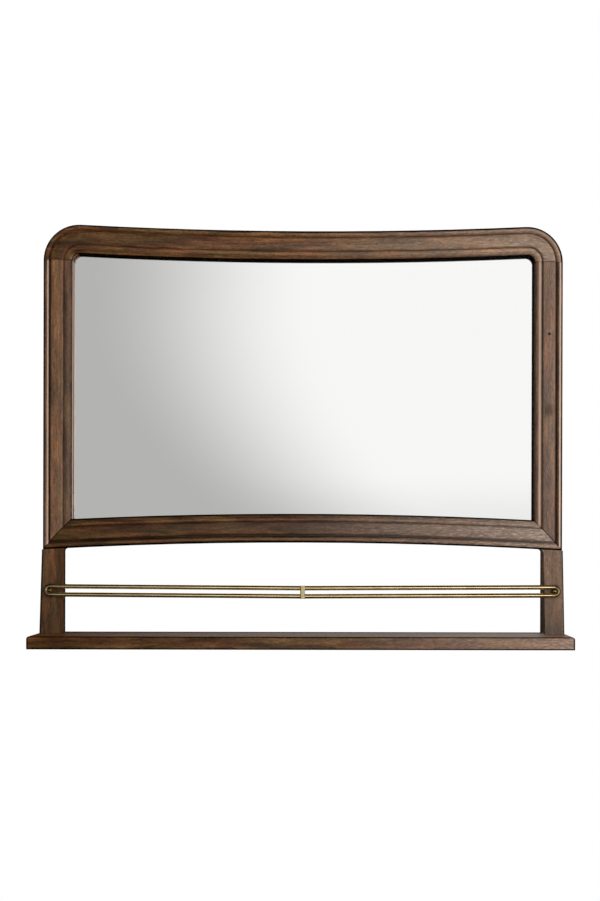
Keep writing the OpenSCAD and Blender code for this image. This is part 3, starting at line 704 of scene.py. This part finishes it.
def recessed_head(tree, given):
    """A countersunk head, with a cross cut into its face by two arms."""
    sink = add_node(tree, "ShaderNodeMath", (given["Head radius"], given["Shank radius"]),
                    operation="SUBTRACT").outputs[0]
    head = add_node(tree, "GeometryNodeMeshCone", {
        "Vertices": 32, "Radius Top": given["Head radius"], "Radius Bottom": given["Shank radius"],
        "Depth": sink}, fill_type="NGON").outputs["Mesh"]
    down = add_node(tree, "ShaderNodeCombineXYZ", {"Z": product(tree, sink, -1.0)}).outputs[0]
    head = add_node(tree, "GeometryNodeTransform", {
        "Geometry": head, "Translation": down}).outputs["Geometry"]
    cut = add_node(tree, "GeometryNodeMeshBoolean", {"Mesh 1": head}, operation="DIFFERENCE", solver="EXACT")
    for turn in (0.0, math.pi / 2):
        size = add_node(tree, "ShaderNodeCombineXYZ", {
            "X": product(tree, given["Head radius"], ARM_SPAN),
            "Y": product(tree, given["Head radius"], ARM_W),
            "Z": product(tree, given["Head radius"], ARM_H)}).outputs[0]
        arm = add_node(tree, "GeometryNodeMeshCube", {"Size": size}).outputs["Mesh"]
        arm = add_node(tree, "GeometryNodeTransform", {
            "Geometry": arm, "Rotation": (0.0, 0.0, turn)}).outputs["Geometry"]
        feed(cut, {"Mesh 2": arm})
    return cut.outputs["Mesh"]


def pointed_shank(tree, given):
    """A shank that thins all the way to its point."""
    shank = add_node(tree, "GeometryNodeMeshCone", {
        "Vertices": 24, "Radius Top": given["Shank radius"],
        "Radius Bottom": product(tree, given["Shank radius"], POINT_R),
        "Depth": product(tree, given["Length"], SHANK_L)}, fill_type="NGON").outputs["Mesh"]
    deep = add_node(tree, "ShaderNodeCombineXYZ", {"Z": product(tree, given["Length"], -1.0)}).outputs[0]
    return add_node(tree, "GeometryNodeTransform", {
        "Geometry": shank, "Translation": deep}).outputs["Geometry"]


def countersunk_screw_tree():
    """Geometry Nodes: a cross-recessed screw at every point, turned at random about its own axis."""
    tree = bpy.data.node_groups.new("countersunk_screws", "GeometryNodeTree")
    tree.interface.new_socket("Places", in_out="INPUT", socket_type="NodeSocketGeometry")
    for size in ("Head radius", "Shank radius", "Length"):
        tree.interface.new_socket(size, in_out="INPUT", socket_type="NodeSocketFloat")
    tree.interface.new_socket("Lie", in_out="INPUT", socket_type="NodeSocketRotation")
    tree.interface.new_socket("Seed", in_out="INPUT", socket_type="NodeSocketInt")
    tree.interface.new_socket("Finish", in_out="INPUT", socket_type="NodeSocketMaterial")
    tree.interface.new_socket("Screws", in_out="OUTPUT", socket_type="NodeSocketGeometry")
    given = add_node(tree, "NodeGroupInput").outputs
    screw = add_node(tree, "GeometryNodeJoinGeometry")
    for part in (recessed_head(tree, given), pointed_shank(tree, given)):
        feed(screw, {"Geometry": part})
    set_out = add_node(tree, "GeometryNodeInstanceOnPoints", {
        "Points": given["Places"], "Instance": screw.outputs["Geometry"], "Rotation": given["Lie"],
    }).outputs["Instances"]
    spin = add_node(tree, "FunctionNodeRandomValue", {"Seed": given["Seed"]}, data_type="FLOAT")
    spin.inputs[3].default_value = math.pi    # the largest turn
    angle = add_node(tree, "ShaderNodeCombineXYZ", {"Z": spin.outputs[1]}).outputs[0]
    spun = add_node(tree, "GeometryNodeRotateInstances", {
        "Instances": set_out, "Rotation": angle}).outputs["Instances"]
    real = add_node(tree, "GeometryNodeRealizeInstances", {"Geometry": spun}).outputs["Geometry"]
    done = add_node(tree, "GeometryNodeSetMaterial", {
        "Geometry": real, "Material": given["Finish"]}).outputs["Geometry"]
    add_node(tree, "NodeGroupOutput", {"Screws": done})
    return tree


def loose_parts(node):
    """Lowest and highest corners of each separate solid in a node."""
    work = merged_solids(node)
    left = set(work.verts)
    boxes = []
    while left:
        front = [left.pop()]
        part = list(front)
        while front:
            for edge in front.pop().link_edges:
                for vert in edge.verts:
                    if vert in left:
                        left.remove(vert)
                        front.append(vert)
                        part.append(vert)
        boxes.append([[pick(v.co[axis] for v in part) for axis in range(3)] for pick in (min, max)])
    work.free()
    return sorted(boxes)


def screws(node, name, tree, lie, head_d, shank_d, length, seed, finish):
    """Cross-recessed screws in place of a node's plain ones, heads and points where those are."""
    places = []
    for low, high in loose_parts(node):
        middle = [(a + b) / 2 for a, b in zip(low, high)]
        if lie == FACING_WALL:
            middle[1] = high[1]
        else:
            middle[2] = low[2]
        places.append(middle)
    mesh = bpy.data.meshes.new(name)
    mesh.from_pydata(places, [], [])
    dots = bpy.data.objects.new(name, mesh)
    bpy.context.scene.collection.objects.link(dots)
    made = grown(dots, tree, {"Head radius": head_d / 2, "Shank radius": shank_d / 2, "Length": length,
                              "Lie": lie, "Seed": seed, "Finish": finish})
    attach(made, BODY)
    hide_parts(node)


zinc = zinc_plate()
screw_tree = countersunk_screw_tree()
screws("panel_screws", "panel_screw_set", screw_tree, FACING_WALL,
       head_d=6 * MM, shank_d=3 * MM, length=12 * MM, seed=3, finish=zinc)
screws("hanger_screws", "hanger_screw_set", screw_tree, FACING_WALL,
       head_d=6 * MM, shank_d=3 * MM, length=14 * MM, seed=5, finish=zinc)
screws("shelf_screws", "shelf_screw_set", screw_tree, FACING_DOWN,
       head_d=9 * MM, shank_d=4.5 * MM, length=60 * MM, seed=8, finish=zinc)

# ---- finishes on the solids that already have their shape ----
beech = bare_beech()
finishes = {
    "rail_spacer": filed_brass(), "rail_screws": aged_brass(), "backing_panel": hardboard(),
    "left_hanger": zinc, "right_hanger": zinc, "stile_dowels": beech, "post_dowels": beech,
}
for node_name, finish in finishes.items():
    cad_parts[node_name].material_slots[0].material = finish


# ---- room: each kind of ray finds its own part of it ----
SOFT = "SMOOTHSTEP"
EVEN = "LINEAR"

# The edge between the grey and the white that the mirror shows, by the way of its rays: how far left of
# straight ahead it lies for a level ray, how much it leans to the left for a rising one, how it straightens
# again, the rise where it ends its curve, and how soft it is
EDGE_LEFT = 0.0755
EDGE_LEAN = 1.316
EDGE_BEND = -3.528
EDGE_RISE = 0.2
EDGE_BLUR = 0.1847

GLOOM = 0.03                # what gloss finds where nothing pale stands
LIGHT_ALL_ROUND = 0.42
LIGHT_FROM_AHEAD = 0.8


def mirror_view(tree, side, slope):
    """What the mirror shows: a grey side at the left and a white one at the right, a little duller low down,
    with a soft curved edge between them."""
    rise = add_node(tree, "ShaderNodeMapRange", (slope, 0.0, EDGE_RISE, 0.0, EDGE_RISE)).outputs[0]
    bend = add_node(tree, "ShaderNodeMath", (rise, EDGE_BEND, EDGE_LEAN), operation="MULTIPLY_ADD").outputs[0]
    edge = add_node(tree, "ShaderNodeMath", (rise, bend, EDGE_LEFT), operation="MULTIPLY_ADD").outputs[0]
    across = add_node(tree, "ShaderNodeMath", (side, edge), operation="ADD").outputs[0]
    white_share = add_node(tree, "ShaderNodeMapRange", (across, 0.0, EDGE_BLUR, 0.0, 1.0),
                           interpolation_type=SOFT).outputs[0]
    high = add_node(tree, "ShaderNodeMapRange", (slope, 0.012, 0.055, 0.0, 1.0),
                    interpolation_type=SOFT).outputs[0]
    white = add_node(tree, "ShaderNodeMix", {"Factor": high, "A": srgb("#eaebe9"), "B": srgb("#f7f7f5")},
                     data_type="RGBA").outputs["Result"]
    return add_node(tree, "ShaderNodeMix", {"Factor": white_share, "A": srgb("#b3b4b1"), "B": white},
                    data_type="RGBA").outputs["Result"]


def gloss_view(tree, way, ahead, side):
    """How bright the satin wood and the brass find the room: dim, with three pale parts."""
    tilt = add_node(tree, "ShaderNodeMath", (way["Z"],), operation="ABSOLUTE").outputs[0]
    pale_parts = [
        # ahead and level, least at the left
        [(SOFT, tilt, 0.10, 0.45, 1.0, 0.0), (SOFT, ahead, 0.1, 0.7, 0.0, 1.0),
         (SOFT, side, -0.30, 0.08, 0.3, 2.4)],
        # on the wall's side, above level and most at the left
        [(SOFT, ahead, -0.70, -0.50, 1.0, 0.0), (EVEN, way["X"], -0.20, 0.15, 2.0, 0.7),
         (EVEN, way["Z"], 0.12, 0.22, 0.0, 1.0), (EVEN, way["Z"], 0.55, 0.75, 1.0, 0.0)],
        # a window ahead, to the right
        [(EVEN, side, 0.35, 0.45, 0.0, 1.6), (EVEN, side, 0.9, 1.1, 1.0, 0.0),
         (EVEN, tilt, 0.30, 0.50, 1.0, 0.0), (EVEN, ahead, 0.2, 0.25, 0.0, 1.0)],
    ]
    room = GLOOM
    for limits in pale_parts:
        part = product(tree, *[
            add_node(tree, "ShaderNodeMapRange", values, interpolation_type=ease).outputs[0]
            for ease, *values in limits])
        room = add_node(tree, "ShaderNodeMath", (room, part), operation="ADD").outputs[0]
    return room


def falling_light(tree, ahead, side):
    """The light that falls on the object: soft all round, stronger from ahead and from the right."""
    front = add_node(tree, "ShaderNodeMath", (ahead, 0.0), operation="MAXIMUM").outputs[0]
    from_right = add_node(tree, "ShaderNodeMapRange", (side, -0.35, 0.25, 0.3, 1.35),
                          interpolation_type=SOFT).outputs[0]
    front = product(tree, front, front, from_right)
    return add_node(tree, "ShaderNodeMath", (front, LIGHT_FROM_AHEAD, LIGHT_ALL_ROUND),
                    operation="MULTIPLY_ADD").outputs[0]


def build_world():
    world = bpy.data.worlds.new("studio")
    bpy.context.scene.world = world
    world.use_nodes = True
    world.cycles.sampling_method = "NONE"    # so that each kind of ray meets only its own part of the room
    tree = world.node_tree
    tree.nodes.clear()

    # A ray's way, how much of it leads ahead, and how far it goes aside and up by each metre ahead
    ray = add_node(tree, "ShaderNodeTexCoord").outputs["Generated"]
    way = add_node(tree, "ShaderNodeSeparateXYZ", (ray,)).outputs
    ahead = add_node(tree, "ShaderNodeMath", (way["Y"], -1.0), operation="MULTIPLY").outputs[0]
    near = add_node(tree, "ShaderNodeMath", (ahead, 0.2), operation="MAXIMUM").outputs[0]
    side = add_node(tree, "ShaderNodeMath", (way["X"], near), operation="DIVIDE").outputs[0]
    slope = add_node(tree, "ShaderNodeMath", (way["Z"], near), operation="DIVIDE").outputs[0]

    light, gloss, backdrop, white = [
        add_node(tree, "ShaderNodeBackground", {"Color": colour, "Strength": strength}).outputs[0]
        for colour, strength in (
            (WHITE, falling_light(tree, ahead, side)),
            (WHITE, gloss_view(tree, way, ahead, side)),
            (mirror_view(tree, side, slope), 1.0),
            (WHITE, 1.0),
        )]
    rays = add_node(tree, "ShaderNodeLightPath").outputs
    shown = light
    for kind, other in (("Is Glossy Ray", gloss), ("Is Transmission Ray", white),
                        ("Is Singular Ray", backdrop), ("Is Camera Ray", white)):
        shown = add_node(tree, "ShaderNodeMixShader", (rays[kind], shown, other)).outputs[0]
    add_node(tree, "ShaderNodeOutputWorld", {"Surface": shown})


FLOOR_SIZE = 14.0
FLOOR_DROP = 950 * MM


def build_floor():
    """A plain pale floor, as far below as the floor of a room. The camera sees the object's faint shadow on
    it, and it runs out to white further off. Gloss finds it dim, and the mirror shows it as it is."""
    bpy.ops.mesh.primitive_plane_add(size=FLOOR_SIZE, location=(0, 0, FOOT_Z - FLOOR_DROP))
    floor = bpy.context.object
    floor.name = "studio_floor"
    material, tree, shader = new_material("pale_floor")
    feed(shader, {"Base Color": srgb("#e9e8e5"), "Roughness": 0.8})
    rays = add_node(tree, "ShaderNodeLightPath").outputs
    place = add_node(tree, "ShaderNodeTexCoord").outputs["Object"]
    away = add_node(tree, "ShaderNodeVectorMath", (place,), operation="LENGTH").outputs["Value"]
    run_out = add_node(tree, "ShaderNodeMapRange", (away, 0.5, 1.2, 0.8, 1.0),
                       interpolation_type=SOFT).outputs[0]
    white_share = product(tree, rays["Is Camera Ray"], run_out)
    white = add_node(tree, "ShaderNodeEmission", {"Color": WHITE, "Strength": 1.0}).outputs[0]
    dim = add_node(tree, "ShaderNodeEmission", {"Color": WHITE, "Strength": 0.06}).outputs[0]
    hazy = add_node(tree, "ShaderNodeMath", (rays["Is Glossy Ray"], rays["Is Singular Ray"]),
                    operation="SUBTRACT", use_clamp=True).outputs[0]    # glossy rays but not the mirror's
    mixed = add_node(tree, "ShaderNodeMixShader", (hazy, shader.outputs[0], dim)).outputs[0]
    mixed = add_node(tree, "ShaderNodeMixShader", (white_share, mixed, white)).outputs[0]
    out = next(n for n in tree.nodes if n.type == "OUTPUT_MATERIAL")
    feed(out, {"Surface": mixed})
    floor.data.materials.append(material)


def softbox(name, place, aim, size, watts):
    """A soft lamp that gloss, glass and the mirror don't show, so that it leaves no white block in them."""
    lamp = bpy.data.lights.new(name, "AREA")
    lamp.shape = "RECTANGLE"
    lamp.size, lamp.size_y = size
    lamp.energy = watts
    holder = bpy.data.objects.new(name, lamp)
    holder.location = place
    holder.rotation_euler = (Vector(aim) - Vector(place)).to_track_quat("-Z", "Y").to_euler()
    holder.visible_glossy = False
    holder.visible_transmission = False
    bpy.context.scene.collection.objects.link(holder)


build_world()
build_floor()
softbox("key_softbox", place=(1.9, -1.30, -0.15), aim=(0.0, 0.0, -0.2), size=(0.8, 1.0), watts=34)


# ---- camera: where the photograph was taken from, a little right of the middle and level with the rail ----
def build_camera(side, back, height, focal_px, pitch, yaw, roll, shift):
    """Height is over the shelf's underside, and the turns are in degrees."""
    frame_px, sensor_mm = 901, 36.0
    data = bpy.data.cameras.new("photo_camera")
    data.sensor_fit = "VERTICAL"
    data.sensor_height = sensor_mm
    data.lens = focal_px * sensor_mm / frame_px
    data.shift_x, data.shift_y = shift
    camera = bpy.data.objects.new("photo_camera", data)
    aim = Euler((math.radians(90 + pitch), 0, math.radians(yaw))).to_matrix()
    look = aim @ Matrix.Rotation(math.radians(roll), 3, "Z")
    camera.matrix_world = Matrix.Translation((side, -back, SHELF_UNDER_Z + height)) @ look.to_4x4()
    bpy.context.scene.collection.objects.link(camera)
    bpy.context.scene.camera = camera


build_camera(side=0.060, back=2.25, height=0.1819, focal_px=1286.3, pitch=-0.076, yaw=-0.536, roll=0.152,
             shift=(-0.0551, 0.1019))
bpy.context.scene.view_settings.view_transform = "Standard"
